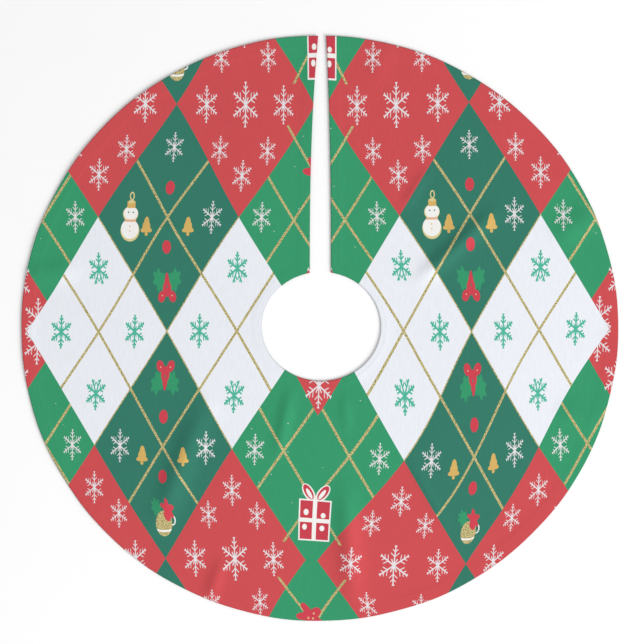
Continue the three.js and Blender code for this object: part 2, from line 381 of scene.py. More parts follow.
def flap_cloth(side):
    """From the fold line to the slit: rows by real distance at the slit hem and where the flap bends, and
    even bearings between them."""
    out = outward_grid(np.array([FOLD]))[0]
    edge = np.abs(slit_bearing(side, out))
    radius = ring_point(np.zeros_like(out), out)[:, 1]
    close = edge[None] + stations(SLIT_HEM)[:, None] / radius
    bent = FOLD - np.linspace(BEND + 0.002, 0, BEND_ROWS)[:, None] / radius
    between = close[-1] + (bent[0] - close[-1]) * np.linspace(0, 1, FLAP_ROWS + 2)[1:-1, None]
    bearing = np.concatenate([close, between, bent])
    under_x, under_y = FLAP_UNDERSIDE
    if side == "right":
        spread = (np.array([0.0, FLAP_SQUARE_LOW]), FLAP_SQUARE, np.array([under_x, under_y]))
        return cloth_mesh("right_flap_cloth", ring_point(bearing, out[None]), spread, 0)
    under = np.array([-under_x - UNDERSIDE_SCALE * FLAP_SQUARE, under_y])
    spread = (np.array([-FLAP_SQUARE, FLAP_SQUARE_LOW]), FLAP_SQUARE, under)
    return cloth_mesh("left_flap_cloth", ring_point(-bearing[::-1], out[None]), spread, -1)


# ---------------------------------------------------------------- stitches, ties and label

def thread_stitches(name, centres, headings, length, width):
    """Short threads with round ends: each a ring of six points swept along a half-sine thickness."""
    around = np.linspace(0, 2 * math.pi, 6, endpoint=False)
    along = np.array([-0.5, -0.36, 0, 0.36, 0.5])
    girth = np.array([0.25, 0.85, 1, 0.85, 0.25]) * width / 2
    local = np.stack([
        np.broadcast_to((along * length)[:, None], (5, 6)),
        girth[:, None] * np.cos(around),
        0.7 * girth[:, None] * np.sin(around),
    ], -1).reshape(-1, 3)
    forward = np.concatenate([headings, np.zeros((len(headings), 1))], 1)
    sideways = np.stack([-headings[:, 1], headings[:, 0], np.zeros(len(headings))], 1)
    up = np.broadcast_to([0.0, 0.0, 1.0], forward.shape)
    axes = (forward, sideways, up)
    points = centres[:, None] + sum(local[None, :, i, None] * axis[:, None] for i, axis in enumerate(axes))
    ring = np.arange(6)
    after = (ring + 1) % 6
    band = np.stack([after, 6 + after, 6 + ring, ring], 1)
    body = (band + 6 * np.arange(4)[:, None, None]).reshape(-1, 4)
    caps = np.stack([ring, 24 + ring[::-1]])
    shift = 30 * np.arange(len(centres))[:, None, None]
    faces = (body + shift).reshape(-1, 4).tolist() + (caps + shift).reshape(-1, 6).tolist()
    points = points.reshape(-1, 3)
    obj = mesh_object(name, points, faces)
    point_map(obj, "cloth", points[:, :2])
    return obj


def spaced(points, spacing):
    """Even places along a path of points, and the path's heading at each."""
    steps = np.diff(points, axis=0)
    reach = np.concatenate([[0], np.cumsum(np.linalg.norm(steps, axis=1))])
    count = int(reach[-1] // spacing)
    at = (np.arange(count) + 0.5) * reach[-1] / count
    places = np.stack([np.interp(at, reach, points[:, i]) for i in range(2)], 1)
    ahead = np.stack([np.interp(at + 1e-4, reach, points[:, i]) for i in range(2)], 1)
    behind = np.stack([np.interp(at - 1e-4, reach, points[:, i]) for i in range(2)], 1)
    heading = ahead - behind
    return places, heading / np.linalg.norm(heading, axis=1, keepdims=True)


def stitch_row(name, path):
    """Stitches lying in the dip along a path on the cloth's upper face."""
    places, headings = spaced(path, STITCH_SPACING)
    height = cloth_faces(places[:, 0], places[:, 1])[0] + 0.25 * THREAD
    return thread_stitches(name, np.column_stack([places, height]), headings, STITCH_LENGTH, THREAD)


def hem_path(curve, inset, start, end):
    """Points along the rim (inset inwards) or the neck (inset outwards), between two bearings."""
    bearing = np.linspace(start, end, 400)
    outwards = np.stack([np.sin(bearing), np.cos(bearing)], -1)
    if curve is rim_point:
        return rim_point(bearing) - inset * outwards
    return neck_point(bearing) + inset * outwards


def slit_path(side):
    """Points along the slit edge, one stitch row in from it, from the neck's row to the rim's."""
    start = NECK_CENTRE[1] + NECK_HALF[1] + NECK_ROW
    y = np.linspace(start, RIM_HALF[1] - RIM_ROW, 200)
    return np.stack([slit_x(side, y) + SIGN[side] * SLIT_ROW, y], -1)


def ribbon_tie(side, place):
    """A satin ribbon lying flat along the slit hem: a thin closed strip whose height waves slowly, its edges
    rounded, its sewn end round and its free end cut on a slant."""
    low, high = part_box(f"{side}_{place}_tie")
    half = (high.x - low.x) / 2
    along = np.linspace(0, 1, 121)
    across = np.linspace(-1, 1, 9)
    t, w = np.meshgrid(along, across, indexing="ij")
    upwards = place == "neck"
    length = high.y - low.y
    round_end = half * (1 - np.sqrt(np.clip(1 - w**2, 0, 1)))
    turned = w if (side == "left") == upwards else -w
    slant = half * (1 + turned)
    run = round_end + t * (length - round_end - slant)
    x = (low.x + high.x) / 2 + w * half * 0.97
    y = low.y + run if upwards else high.y - run
    centre = (low.z + high.z) / 2
    wave = 0.00006 * np.sin(run / 0.021) + 0.00004 * np.sin(run / 0.0083 + 3 * w)
    thick = 0.00016 * np.sqrt(np.clip(1 - w**4, 0, 1)) + 0.00001
    rows, columns = x.shape
    top = np.arange(rows * columns).reshape(rows, columns)
    bottom = top + rows * columns
    loop = np.concatenate([top, bottom[:, ::-1], top[:, :1]], 1)
    sides = quads(loop)
    sewn_end = np.concatenate([top[0], bottom[0, ::-1]])[::-1]
    free_end = np.concatenate([top[-1], bottom[-1, ::-1]])
    points = np.concatenate([np.dstack([x, y, centre + wave + s * thick]).reshape(-1, 3) for s in (1, -1)])
    faces = sides.tolist() + [sewn_end.tolist(), free_end.tolist()]
    if upwards:
        faces = [face[::-1] for face in faces]
    obj = mesh_object(f"{side}_{place}_ribbon", points, faces)
    point_map(obj, "ribbon", np.tile(np.stack([w * half, run], -1).reshape(-1, 2), (2, 1)))
    return obj, (length, 2 * half)


def bar_tack(side, place):
    """Close stitches side by side over the bar's box, across the ribbon."""
    low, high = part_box(f"{side}_{place}_tie_tack")
    count = int((high.x - low.x) / (THREAD * 1.15))
    x = np.linspace(low.x, high.x, count + 2)[1:-1]
    centres = np.column_stack([x, np.full(count, (low.y + high.y) / 2), np.full(count, high.z + 0.0002)])
    headings = np.tile([0.12, 1.0], (count, 1))
    headings[::2, 0] *= -1
    headings /= np.linalg.norm(headings, axis=1, keepdims=True)
    return thread_stitches(f"{side}_{place}_bar_tack", centres, headings, high.y - low.y, THREAD)


# The label's width and length, and how far it is turned from square
LABEL_SIZE = (0.030, 0.045)
LABEL_TURN = math.radians(25)


def care_tab():
    """A blank woven tab: two bowed faces over one grid that meet at its border, placed by its node's box."""
    low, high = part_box("care_label")
    width, length = LABEL_SIZE
    centre = np.array([(low.x + high.x) / 2, (low.y + high.y) / 2])
    u, v = np.meshgrid(np.linspace(-0.5, 0.5, 25), np.linspace(-0.5, 0.5, 37), indexing="ij")
    local = np.stack([u * width * 0.985, v * length * 0.985], -1)
    across = np.array([math.cos(LABEL_TURN), -math.sin(LABEL_TURN)])
    along = np.array([math.sin(LABEL_TURN), math.cos(LABEL_TURN)])
    place = centre + local[..., :1] * across + local[..., 1:] * along
    edge = np.clip(np.minimum(0.5 - np.abs(u), 0.5 - np.abs(v)) / 0.02, 0, 1)
    half = 0.00014 * np.sqrt(1 - (1 - edge) ** 2)
    middle = (low.z + high.z) / 2 + 0.00005 * np.sin(9 * u + 4 * v)
    rows, columns = u.shape
    top = np.arange(rows * columns).reshape(rows, columns)
    border = np.zeros((rows, columns), bool)
    border[[0, -1], :] = border[:, [0, -1]] = True
    bottom = np.where(border, top, top + rows * columns)
    points = np.concatenate([np.dstack([place, middle + s * half]).reshape(-1, 3) for s in (1, -1)])
    used, numbers = np.unique(np.concatenate([quads(top), quads(bottom)[:, ::-1]]), return_inverse=True)
    obj = mesh_object("blank_care_label", points[used], numbers.reshape(-1, 4).tolist())
    point_map(obj, "label", np.tile(local.reshape(-1, 2), (2, 1))[used])
    return obj, LABEL_SIZE


# ---------------------------------------------------------------- materials

def colour(hex_value):
    """Linear colour from an sRGB hex value."""
    parts = [int(hex_value[i:i + 2], 16) / 255 for i in (1, 3, 5)]
    return tuple(c / 12.92 if c <= 0.04045 else ((c + 0.055) / 1.055) ** 2.4 for c in parts) + (1.0,)


def add(tree, kind, *inputs, **settings):
    """A node with its settings, and its inputs in the order they show: a node or a socket is linked, and
    anything else is set."""
    node = tree.nodes.new("ShaderNode" + kind)
    for name, value in settings.items():
        setattr(node, name, value)
    shown = [socket for socket in node.inputs if socket.enabled]
    for socket, value in zip(shown, inputs):
        if isinstance(value, bpy.types.Node):
            value = next(output for output in value.outputs if output.enabled)
        if isinstance(value, bpy.types.NodeSocket):
            tree.links.new(value, socket)
        else:
            socket.default_value = value
    return node


def new_material(name):
    """An empty node material and its tree."""
    material = bpy.data.materials.new(name)
    material.use_nodes = True
    material.node_tree.nodes.clear()
    return material, material.node_tree


def cloth_shader(tree, base, bump, roughness=0.9, sheen=0.06):
    """Matt fibre: high roughness, low specular, and the soft light edge of fuzz."""
    shader = add(tree, "BsdfPrincipled", base)
    shader.inputs["Roughness"].default_value = roughness
    shader.inputs["Specular IOR Level"].default_value = 0.1
    shader.inputs["Sheen Weight"].default_value = sheen
    shader.inputs["Sheen Roughness"].default_value = 0.6
    tree.links.new(bump.outputs[0], shader.inputs["Normal"])
    add(tree, "OutputMaterial", shader)


# Print layout in millimetres. Two sets of columns: on one the tall green diamonds stand, and on the other
# the light ground runs through. Two sets of rows: white diamonds on one and red on the other.
PRINT_START = (-3.2, -3.4)
COLUMN = 285
ROW = 429
DIAMOND = (133.5, 214.5)
SLOPE = DIAMOND[0] / DIAMOND[1]
# The red diamond is wider on its far side, and a smaller one lies across the light ground
RED_WIDE = 140.2
SMALL_RED = (88, 147)
# Half the width of a metallic stripe, and of the fine line between a pine and a white diamond
STRIPE = 2.3
OUTLINE = 1.1
# Where stripes cross on the light ground: how far from the white row, and the change to that above the row
CROSSINGS = ((306, -20), (123, 8))

# Where the cloth has slipped off square: place, reach and slip of the print, millimetres
SLIPS = (
    ((180, -260), 150, (-9, 30)),
    ((360, -430), 90, (16, -4)),
    ((230, -180), 80, (-6, 2)),
    ((500, -130), 110, (10, -6)),
    ((130, 20), 110, (-7.5, -5.5)),
    ((-170, -270), 140, (12, 8)),
    ((-170, -420), 110, (-5.5, -4.5)),
    ((-240, 440), 150, (-20, 4)),
    ((-240, 190), 80, (5.5, 1)),
    ((-450, 50), 110, (-7.5, 4)),
    ((0, -420), 110, (12, 0)),
    ((-10, -545), 60, (2, -19)),
    ((20, 370), 110, (0, 7.5)),
    ((0, 510), 50, (0, -8)),
    ((110, -474), 60, (9, 0)),
    ((270, -330), 60, (-3, 7)),
    ((150, 430), 80, (5.5, 3)),
    ((330, 250), 90, (0, -4.5)),
)

RED = "#CB4D51"
PINE = "#327865"
LEAF_GREEN = "#35976A"
SNOW = "#E8EBF1"
ICE_TEAL = "#4FB59B"
GOLD = "#D8CA90"
GOLD_SPECK = "#756A38"
SILVER = "#E2DEE0"
BERRY = "#CB4350"
HOLLY = "#35966A"
BELL_GOLD = "#D3AE63"
CREAM = "#EFEEEA"
PEACH = "#E2B08E"
WINE = "#C6404E"

# Snowflakes: how far from the green column, how far from the white row, length of an arm
FLAKES_BY_COLUMN = ((0, 347.5, 29), (84, 214.5, 32), (176, 214.5, 30), (247, 23, 41), (285, 95, 41))
# The same by distance from the middle of the white and red diamonds' column
FLAKES_BY_DIAMOND = ((0, 429, 44), (77, 429, 36), (47, 342.5, 28), (0, 294, 31), (70.5, 0, 33), (0, 117, 33))
NARROWING = 0.64
# The two prongs of a forked arm turn this far from it
FORK = math.radians(25)
# One flake is printed this far out of its row: where, within what distance, and how much nearer the row
STRAY_FLAKE = ((159, -146), 60, 12)


def print_colour(tree):
    """The printed face, one motif laid over another: its colour, and the flat map that places it."""
    node = partial(add, tree)

    flat = node("UVMap", uv_map="cloth")
    start = (-PRINT_START[0], -PRINT_START[1], 0)
    place = node("VectorMath", flat, (1000, 1000, 1000), start, operation="MULTIPLY_ADD")
    slipped = place
    for (x, y), reach, (dx, dy) in SLIPS:
        away = node("VectorMath", place, (x, y, 0), operation="DISTANCE")
        square = node("Math", away, 2, operation="POWER")
        fall = node("Math", square, -0.5 / reach**2, operation="MULTIPLY")
        share = node("Math", fall, operation="EXPONENT")
        slip = node("VectorMath", (dx, dy, 0), share, operation="SCALE")
        slipped = node("VectorMath", slipped, slip, operation="ADD")
    split = node("SeparateXYZ", slipped)

    # Signed distance from the nearest green column, and from the nearest white row
    along = node("Math", split.outputs["X"], 2 * COLUMN, 0, operation="WRAP")
    from_column = node("Math", along, COLUMN, operation="SUBTRACT")
    from_row = node("Math", split.outputs["Y"], ROW, -ROW, operation="WRAP")
    # The same without sign, and the distances from the other columns and rows
    off_column = node("Math", from_column, operation="ABSOLUTE")
    off_row = node("Math", from_row, operation="ABSOLUTE")
    off_light = node("Math", COLUMN, off_column, operation="SUBTRACT")
    past_middle = node("Math", off_column, DIAMOND[0], operation="SUBTRACT")
    off_middle = node("Math", past_middle, operation="ABSOLUTE")
    past_pine = node("Math", off_row, DIAMOND[1], operation="SUBTRACT")
    off_pine = node("Math", past_pine, operation="ABSOLUTE")
    off_red = node("Math", ROW, off_row, operation="SUBTRACT")

    def inside(first, first_half, second, second_half):
        """1 less the two distances over their halves: above 0 inside a diamond, and 1 at its middle."""
        point = node("CombineXYZ", first, second, 1.0)
        shares = (-1 / first_half, -1 / second_half, 1)
        return node("VectorMath", point, shares, operation="DOT_PRODUCT")

    def stripe(first, second):
        """1 within STRIPE of the line where the first distance is SLOPE times the second."""
        line = node("Math", second, SLOPE, operation="MULTIPLY")
        off_line = node("Math", node("Math", line, first, operation="SUBTRACT"), operation="ABSOLUTE")
        return node("Math", off_line, STRIPE * math.hypot(1, SLOPE), operation="LESS_THAN")

    in_pine = inside(off_column, DIAMOND[0], off_pine, DIAMOND[1])
    in_white = inside(off_middle, DIAMOND[0], off_row, DIAMOND[1])
    in_small = inside(off_light, SMALL_RED[0], off_row, SMALL_RED[1])
    far_side = node("Math", past_middle, DIAMOND[0] / RED_WIDE, operation="MULTIPLY")
    near_side = node("Math", past_middle, -1, operation="MULTIPLY")
    off_red_middle = node("Math", far_side, near_side, operation="MAXIMUM")
    in_red = inside(off_red_middle, DIAMOND[0], off_red, DIAMOND[1])
    diamonds = (in_pine, in_white, in_small, in_red)
    pine, white, small_red, large_red = (node("Math", d, 0, operation="GREATER_THAN") for d in diamonds)
    upper = node("Math", from_row, 0, operation="GREATER_THAN")
    lower = node("Math", 1, upper, operation="SUBTRACT")

    # Metallic stripes: two families cross on the light ground and in each pine and white diamond
    crossing_stripes = []
    for height, change in CROSSINGS:
        meeting = node("Math", upper, change, height, operation="MULTIPLY_ADD")
        leg = node("Math", node("Math", off_row, meeting, operation="SUBTRACT"), operation="ABSOLUTE")
        crossing_stripes.append(stripe(off_light, leg))
    stripes = node("Math", *crossing_stripes, operation="MAXIMUM")
    # Small red diamonds hide them, and large ones too, but for the part near the light column
    deep = node("Math", off_light, 80, operation="GREATER_THAN")
    deep = node("Math", deep, node("Math", off_red, 37, operation="LESS_THAN"), operation="MAXIMUM")
    hidden = node("Math", large_red, deep, operation="MULTIPLY")
    hidden = node("Math", hidden, small_red, operation="MAXIMUM")
    stripes = node("Math", stripes, hidden, operation="SUBTRACT")
    closed = node("Math", pine, white, operation="MAXIMUM")
    stripes = node("Math", stripes, closed, operation="SUBTRACT")
    pine_stripe = node("Math", stripe(off_column, off_pine), pine, operation="MULTIPLY")
    stripes = node("Math", stripes, pine_stripe, operation="MAXIMUM")
    white_stripe = node("Math", stripe(off_middle, off_row), white, operation="MULTIPLY")
    stripes = node("Math", stripes, white_stripe, operation="MAXIMUM")
    hairline = OUTLINE * math.hypot(1, SLOPE) / DIAMOND[0]
    edges = [
        node("Math", node("Math", diamond, operation="ABSOLUTE"), hairline, operation="LESS_THAN")
        for diamond in (in_pine, in_white)
    ]
    stripes = node("Math", stripes, node("Math", *edges, operation="MULTIPLY"), operation="MAXIMUM")

    # The metallic print is speckled: its dark grains are flecks in the ink, and its light grains are painted
    # glints of the metal. Its grains are drawn 2 to 3 mm across, coarser than glitter, to show
    glint_and_fleck_noise = node("TexNoise", slipped, 0.42, 3.0, 0.75)
    glint_and_fleck_share = node("MapRange", glint_and_fleck_noise, 0.40, 0.56)
    gold = node("Mix", glint_and_fleck_share, colour(GOLD_SPECK), colour(GOLD), data_type="RGBA")

    def layers(under, where, *shapes):
        """Shapes laid over one another, each only where the motif belongs."""
        for shape, ink in shapes:
            mask = node("Math", shape, where, operation="MULTIPLY") if where else shape
            ink = colour(ink) if isinstance(ink, str) else ink
            under = node("Mix", mask, under, ink, data_type="RGBA")
        return under

    # The light ground is scattered with tiny pale flecks, each 1 to 2 mm
    fleck = node("Math", node("TexVoronoi", slipped, 0.04), 0.035, operation="LESS_THAN")
    red = node("Math", large_red, small_red, operation="MAXIMUM")
    inks = ((fleck, SILVER), (red, RED), (pine, PINE), (white, SNOW), (stripes, gold))
    ground = layers(colour(LEAF_GREEN), None, *inks)

    # Snowflakes: the point measured from the nearest one, in lengths of its arm
    from_stray = node("VectorMath", place, (*STRAY_FLAKE[0], 0), operation="DISTANCE")
    stray = node("Math", from_stray, STRAY_FLAKE[1], operation="LESS_THAN")
    stray_row = node("Math", stray, STRAY_FLAKE[2], off_row, operation="MULTIPLY_ADD")
    by_column = node("CombineXYZ", off_column, off_row)
    by_diamond = node("CombineXYZ", off_middle, stray_row)
    # Where no flake is near, the point is left far out
    nearest = node("CombineXYZ", 9.0, 9.0)
    for point, flakes in ((by_column, FLAKES_BY_COLUMN), (by_diamond, FLAKES_BY_DIAMOND)):
        for x, y, arm in flakes:
            scale = (1 / (arm * NARROWING), 1 / arm, 0)
            start = (-x * scale[0], -y * scale[1], 0)
            mine = node("VectorMath", point, scale, start, operation="MULTIPLY_ADD")
            away = node("VectorMath", mine, operation="LENGTH")
            close = node("Math", away, 1.08, operation="LESS_THAN")
            if flakes is FLAKES_BY_COLUMN:
                close = node("Math", close, white, operation="SUBTRACT", use_clamp=True)
            nearest = node("Mix", close, nearest, mine, data_type="VECTOR")

    # Six arms: a point beyond the edge of the upright arm's sector, at 30 degrees, is mirrored in that edge
    off_edge = (0.866, -0.5, 0)
    quarter = node("VectorMath", nearest, operation="ABSOLUTE")
    beyond = node("VectorMath", quarter, off_edge, operation="DOT_PRODUCT")
    fold_by = node("Math", node("Math", beyond, 0, operation="MAXIMUM"), -2, operation="MULTIPLY")
    fold = node("VectorMath", off_edge, fold_by, operation="SCALE")
    sector = node("SeparateXYZ", node("VectorMath", quarter, fold, operation="ADD"))
    half_width = node("Math", sector.outputs["X"], operation="ABSOLUTE")
    half_sector = node("CombineXYZ", half_width, sector.outputs["Y"])
    # On the white diamonds' outer flakes the arm that points inwards is forked, and each prong is an arm
    forked = node("Math", node("Math", beyond, 0, operation="LESS_THAN"), white, operation="MULTIPLY")
    inwards = node("Math", node("SeparateXYZ", nearest).outputs["Y"], 0, operation="LESS_THAN")
    forked = node("Math", forked, inwards, operation="MULTIPLY")
    forked = node("Math", forked, node("Math", off_row, 50, operation="GREATER_THAN"), operation="MULTIPLY")
    prong = node("Math", forked, FORK, operation="MULTIPLY")
    turned = node("VectorRotate", half_sector, (0.0, 0.0, 0.0), prong, rotation_type="Z_AXIS")
    arm_point = node("SeparateXYZ", turned)
    side = node("Math", arm_point.outputs["X"], operation="ABSOLUTE")
    out = arm_point.outputs["Y"]
    # An arm is a stem with slanting rungs that get shorter outwards
    stroke = node("Math", white, 0.032, 0.036, operation="MULTIPLY_ADD")
    stem = node("Math", side, stroke, operation="LESS_THAN")
    slanted = node("Math", side, -0.75, out, operation="MULTIPLY_ADD")
    rung = node("Math", node("Math", slanted, -0.42, operation="ADD"), 0.12, operation="PINGPONG")
    rung = node("Math", rung, node("Math", stroke, -0.007, operation="ADD"), operation="LESS_THAN")
    spread = node("Math", slanted, -0.36, 0.40, operation="MULTIPLY_ADD")
    rung = node("Math", rung, node("Math", spread, side, operation="GREATER_THAN"), operation="MULTIPLY")
    rung = node("Math", rung, node("Math", slanted, 0.34, operation="GREATER_THAN"), operation="MULTIPLY")
    flake = node("Math", stem, rung, operation="MAXIMUM")
    # Six short spikes between the arms, and a round middle
    length = node("VectorMath", nearest, operation="LENGTH")
    between = node("Math", node("Math", beyond, operation="ABSOLUTE"), 0.034, operation="LESS_THAN")
    spike = node("Math", between, node("Math", length, 0.36, operation="LESS_THAN"), operation="MULTIPLY")
    flake = node("Math", flake, spike, operation="MAXIMUM")
    flake = node("Math", flake, node("Math", length, 0.11, operation="LESS_THAN"), operation="MAXIMUM")
    reach = node("Math", forked, -0.08, 0.97, operation="MULTIPLY_ADD")
    flake = node("Math", flake, node("Math", length, reach, operation="LESS_THAN"), operation="MULTIPLY")
    # No flake where the snowman hangs, nor where the bauble does
    off_snowman = node("Math", from_column, 75, operation="ADD")
    off_snowman = node("Math", off_snowman, operation="ABSOLUTE")
    snowman = node("Math", off_snowman, 35, operation="LESS_THAN")
    snowman = node("Math", snowman, node("Math", upper, pine, operation="MULTIPLY"), operation="MULTIPLY")
    bauble = node("Math", lower, node("Math", off_column, 30, operation="LESS_THAN"), operation="MULTIPLY")
    taken = node("Math", snowman, bauble, operation="MAXIMUM")
    flake = node("Math", flake, taken, operation="SUBTRACT", use_clamp=True)
    flake_ink = node("Mix", white, colour(SILVER), colour(ICE_TEAL), data_type="RGBA")
    ground = layers(ground, None, (flake, flake_ink))

    def within(point, middle, halves, turn=0.0):
        """The point in an ellipse's own units: 1 long on its outline."""
        turned = (0, 0, math.radians(turn))
        return node("Mapping", point, (*middle, 0), turned, (*halves, 1), vector_type="TEXTURE")

    def spot(point, middle, halves, turn=0.0):
        """1 inside an ellipse."""
        away = node("VectorMath", within(point, middle, halves, turn), operation="LENGTH")
        return node("Math", away, 1, operation="LESS_THAN")

    def box(point, middle, halves):
        """1 inside a rectangle."""
        own = node("SeparateXYZ", node("VectorMath", within(point, middle, halves), operation="ABSOLUTE"))
        furthest = node("Math", own.outputs["X"], own.outputs["Y"], operation="MAXIMUM")
        return node("Math", furthest, 1, operation="LESS_THAN")

    def pointed(point, middle, halves, points, depth, turn=0.0):
        """1 inside an ellipse whose radius is 1 + depth (cos(points times the angle) - 1) / 2."""
        own = within(point, middle, halves, turn)
        parts = node("SeparateXYZ", own)
        angle = node("Math", parts.outputs["Y"], parts.outputs["X"], operation="ARCTAN2")
        lobes = node("Math", node("Math", angle, points, operation="MULTIPLY"), operation="COSINE")
        limit = node("Math", lobes, depth / 2, 1 - depth / 2, operation="MULTIPLY_ADD")
        return node("Math", node("VectorMath", own, operation="LENGTH"), limit, operation="LESS_THAN")

    # Holly beside the white row, and a berry above and below the middle of each pine diamond
    mirrored = node("CombineXYZ", off_column, off_row)
    ground = layers(
        ground, None,
        (pointed(mirrored, (14, 95), (13.5, 24), 7, 0.3, -14), HOLLY),
        (spot(mirrored, (10.3, 65), (7.2, 11), 12), BERRY),
        (spot(mirrored, (0, 80), (8.2, 15)), BERRY),
        (spot(mirrored, (0, 92), (4.6, 14)), BERRY),
        (spot(mirrored, (0, 106), (2.4, 4)), BERRY),
        (spot(mirrored, (0, 84), (1.5, 2)), PINE),
        (spot(mirrored, (9.5, 67), (1.2, 1.6)), PEACH),
    )
    centred = node("CombineXYZ", off_column, off_pine)
    ground = layers(ground, None, (spot(centred, (0, 56), (8.5, 12.8)), BERRY))

    # Two bells in each pine diamond, both upright
    to_middle = node("Math", upper, -2 * DIAMOND[1], DIAMOND[1], operation="MULTIPLY_ADD")
    above_middle = node("Math", from_row, to_middle, operation="ADD")
    bell = node("CombineXYZ", off_column, above_middle)
    ground = layers(
        ground, None,
        (spot(bell, (40.6, -31.5), (2.9, 3.6)), BELL_GOLD),
        (spot(bell, (40.0, -11.5), (5.2, 12.5)), BELL_GOLD),
        (spot(bell, (40.3, -17.5), (7.6, 11)), BELL_GOLD),
        (pointed(bell, (40.5, -22.5), (8.2, 12.0), 3, 0.30, 90), BELL_GOLD),
    )

    # A plain snowman in each upper pine diamond, hung from a gold loop
    figure = node("CombineXYZ", from_column, above_middle)
    ground = layers(
        ground, upper,
        (spot(figure, (-70.3, 39.5), (4.6, 8.2)), GOLD),
        (spot(figure, (-70.3, 39.5), (2.5, 5.6)), PINE),
        (spot(figure, (-72.5, -25), (18.2, 20.5)), GOLD),
        (spot(figure, (-71.9, 6), (14.6, 14.5)), GOLD),
        (spot(figure, (-72.8, -22), (17, 18.6)), CREAM),
        (spot(figure, (-71.5, 7), (13.4, 13.2)), CREAM),
        (box(figure, (-71, 23.5), (7.6, 6.4)), BELL_GOLD),
        (box(figure, (-71, 29), (5, 2.6)), GOLD),
        (box(figure, (-72, -6.5), (11, 2.2)), PEACH),
        (spot(figure, (-76, 9), (1.3, 1.7)), PINE),
        (spot(figure, (-67, 9), (1.3, 1.7)), PINE),
        (spot(figure, (-73, -17), (1.3, 1.6)), PEACH),
        (spot(figure, (-73, -26), (1.3, 1.6)), PEACH),
    )

    # A gold bauble with a bow at the foot of each lower pine diamond
    hung = node("CombineXYZ", from_column, from_row)
    ground = layers(
        ground, lower,
        (pointed(hung, (-13, -330), (11, 20), 8, 0.35, 15), HOLLY),
        (spot(hung, (16.5, -355), (6.2, 10)), CREAM),
        (spot(hung, (16.5, -355), (3.9, 7.4)), PINE),
        (spot(hung, (0, -361), (15.5, 25)), gold),
        (pointed(hung, (8, -332), (12.5, 22), 5, 0.45, 20), BERRY),
        (spot(hung, (7, -345), (6, 12), 15), BERRY),
    )
    # A cream band sags across the bauble
    sag = node("Math", node("Math", from_column, 2, operation="POWER"), -0.012, operation="MULTIPLY")
    off_band = node("Math", node("Math", from_row, sag, operation="ADD"), 376, operation="ADD")
    band = node("Math", node("Math", off_band, operation="ABSOLUTE"), 1.9, operation="LESS_THAN")
    ground = layers(ground, spot(hung, (0, -361), (15.5, 25)), (band, CREAM))

    # A wrapped gift where the light ground narrows, and a red flower further on
    from_plain = node("Math", split.outputs["X"], COLUMN, -COLUMN, operation="WRAP")
    gift = node("CombineXYZ", from_plain, from_row)
    off_gift = node("Math", node("Math", from_plain, 3.5, operation="SUBTRACT"), operation="ABSOLUTE")
    bow = node("CombineXYZ", off_gift, from_row)
    ground = layers(
        ground, None,
        (spot(bow, (12.5, -290), (9.4, 19), -30), CREAM),
        (spot(bow, (13.0, -289), (6.9, 16), -30), WINE),
        (spot(bow, (11.5, -292), (3.3, 11), -30), CREAM),
        (box(gift, (3.5, -345), (29, 42)), CREAM),
        (box(gift, (3.5, -345), (26.4, 39)), WINE),
        (box(gift, (3.5, -345), (3.8, 40)), CREAM),
        (box(gift, (3.5, -345), (28, 4.2)), CREAM),
        (spot(gift, (-12, -329), (4.6, 6.2)), CREAM),
        (spot(gift, (19, -334), (4.3, 5.4)), CREAM),
        (spot(gift, (-14, -359), (4.3, 6.0)), CREAM),
        (spot(gift, (18, -360), (4.5, 5.8)), CREAM),
        (pointed(gift, (-5, 303), (25, 34), 5, 0.5, 42), BERRY),
        (spot(gift, (-10, 300), (1.8, 2.4)), PEACH),
        (spot(gift, (1, 309), (1.8, 2.4)), PEACH),
        (spot(gift, (-1, 299), (1.5, 2.0)), GOLD),
    )
    return ground, flat


def printed_cloth():
    """Brushed polyester, woven and then printed on one side: matt, with a short soft nap."""
    material, tree = new_material("printed brushed polyester")
    ink, flat = print_colour(tree)
    # Slubs in the yarn run up the cloth: a few hundredths lighter or darker, 4 mm wide and 20 mm long
    stretched = add(tree, "VectorMath", flat, (250, 50, 0), operation="MULTIPLY")
    slub = add(tree, "TexNoise", stretched, 1.0, 2.0, 0.6)
    tone = add(tree, "MapRange", slub, 0.3, 0.7, 0.97, 1.025)
    # Painted shade: the cloth's colour is darkened over its last 2 mm at a turned edge, where the roll lies
    # in shade
    from_edge = add(tree, "Attribute", attribute_name="from_edge").outputs["Fac"]
    painted_edge_shade = add(tree, "MapRange", from_edge, 0.0, 0.0022, 0.62, 1.0)
    shade = add(tree, "Math", tone, painted_edge_shade, operation="MULTIPLY")
    toned = add(tree, "VectorMath", ink, shade, operation="SCALE")
    # The weave and its nap, drawn at 1.4 mm where the real threads are 0.3 mm apart, so that they show
    weave = add(tree, "TexNoise", flat, 700.0, 2.0, 0.6)
    bump = add(tree, "Bump", 0.25, 0.0006, 1.0, weave)
    cloth_shader(tree, toned, bump)
    return material


def printed_thread():
    """Spun polyester thread, sewn before the cloth was printed, so it carries the print a little paler."""
    material, tree = new_material("printed spun polyester thread")
    ink, flat = print_colour(tree)
    pale = add(tree, "Mix", 0.06, ink, colour("#F4F2F2"), data_type="RGBA")
    ply = add(tree, "TexWave", flat, 2500.0)
    bump = add(tree, "Bump", 0.2, 0.0002, 1.0, ply.outputs["Fac"])
    cloth_shader(tree, pale, bump, 0.7)
    return material


def plain_cloth(name, hex_value, map_name, scale, roughness=0.85, sheen=0.25):
    """Undyed cloth, thread or ribbon: one colour that the grain darkens by up to 7 %, and a fine bump."""
    material, tree = new_material(name)
    flat = add(tree, "UVMap", uv_map=map_name) if map_name else add(tree, "TexCoord").outputs["Object"]
    grain = add(tree, "TexNoise", flat, scale, 2.0, 0.6)
    light = colour(hex_value)
    dark = tuple(0.93 * part for part in light[:3]) + (1.0,)
    tone = add(tree, "Mix", grain, dark, light, data_type="RGBA")
    bump = add(tree, "Bump", 0.3, 0.0003, 1.0, grain)
    cloth_shader(tree, tone, bump, roughness, sheen)
    return material


# ---------------------------------------------------------------- assembly

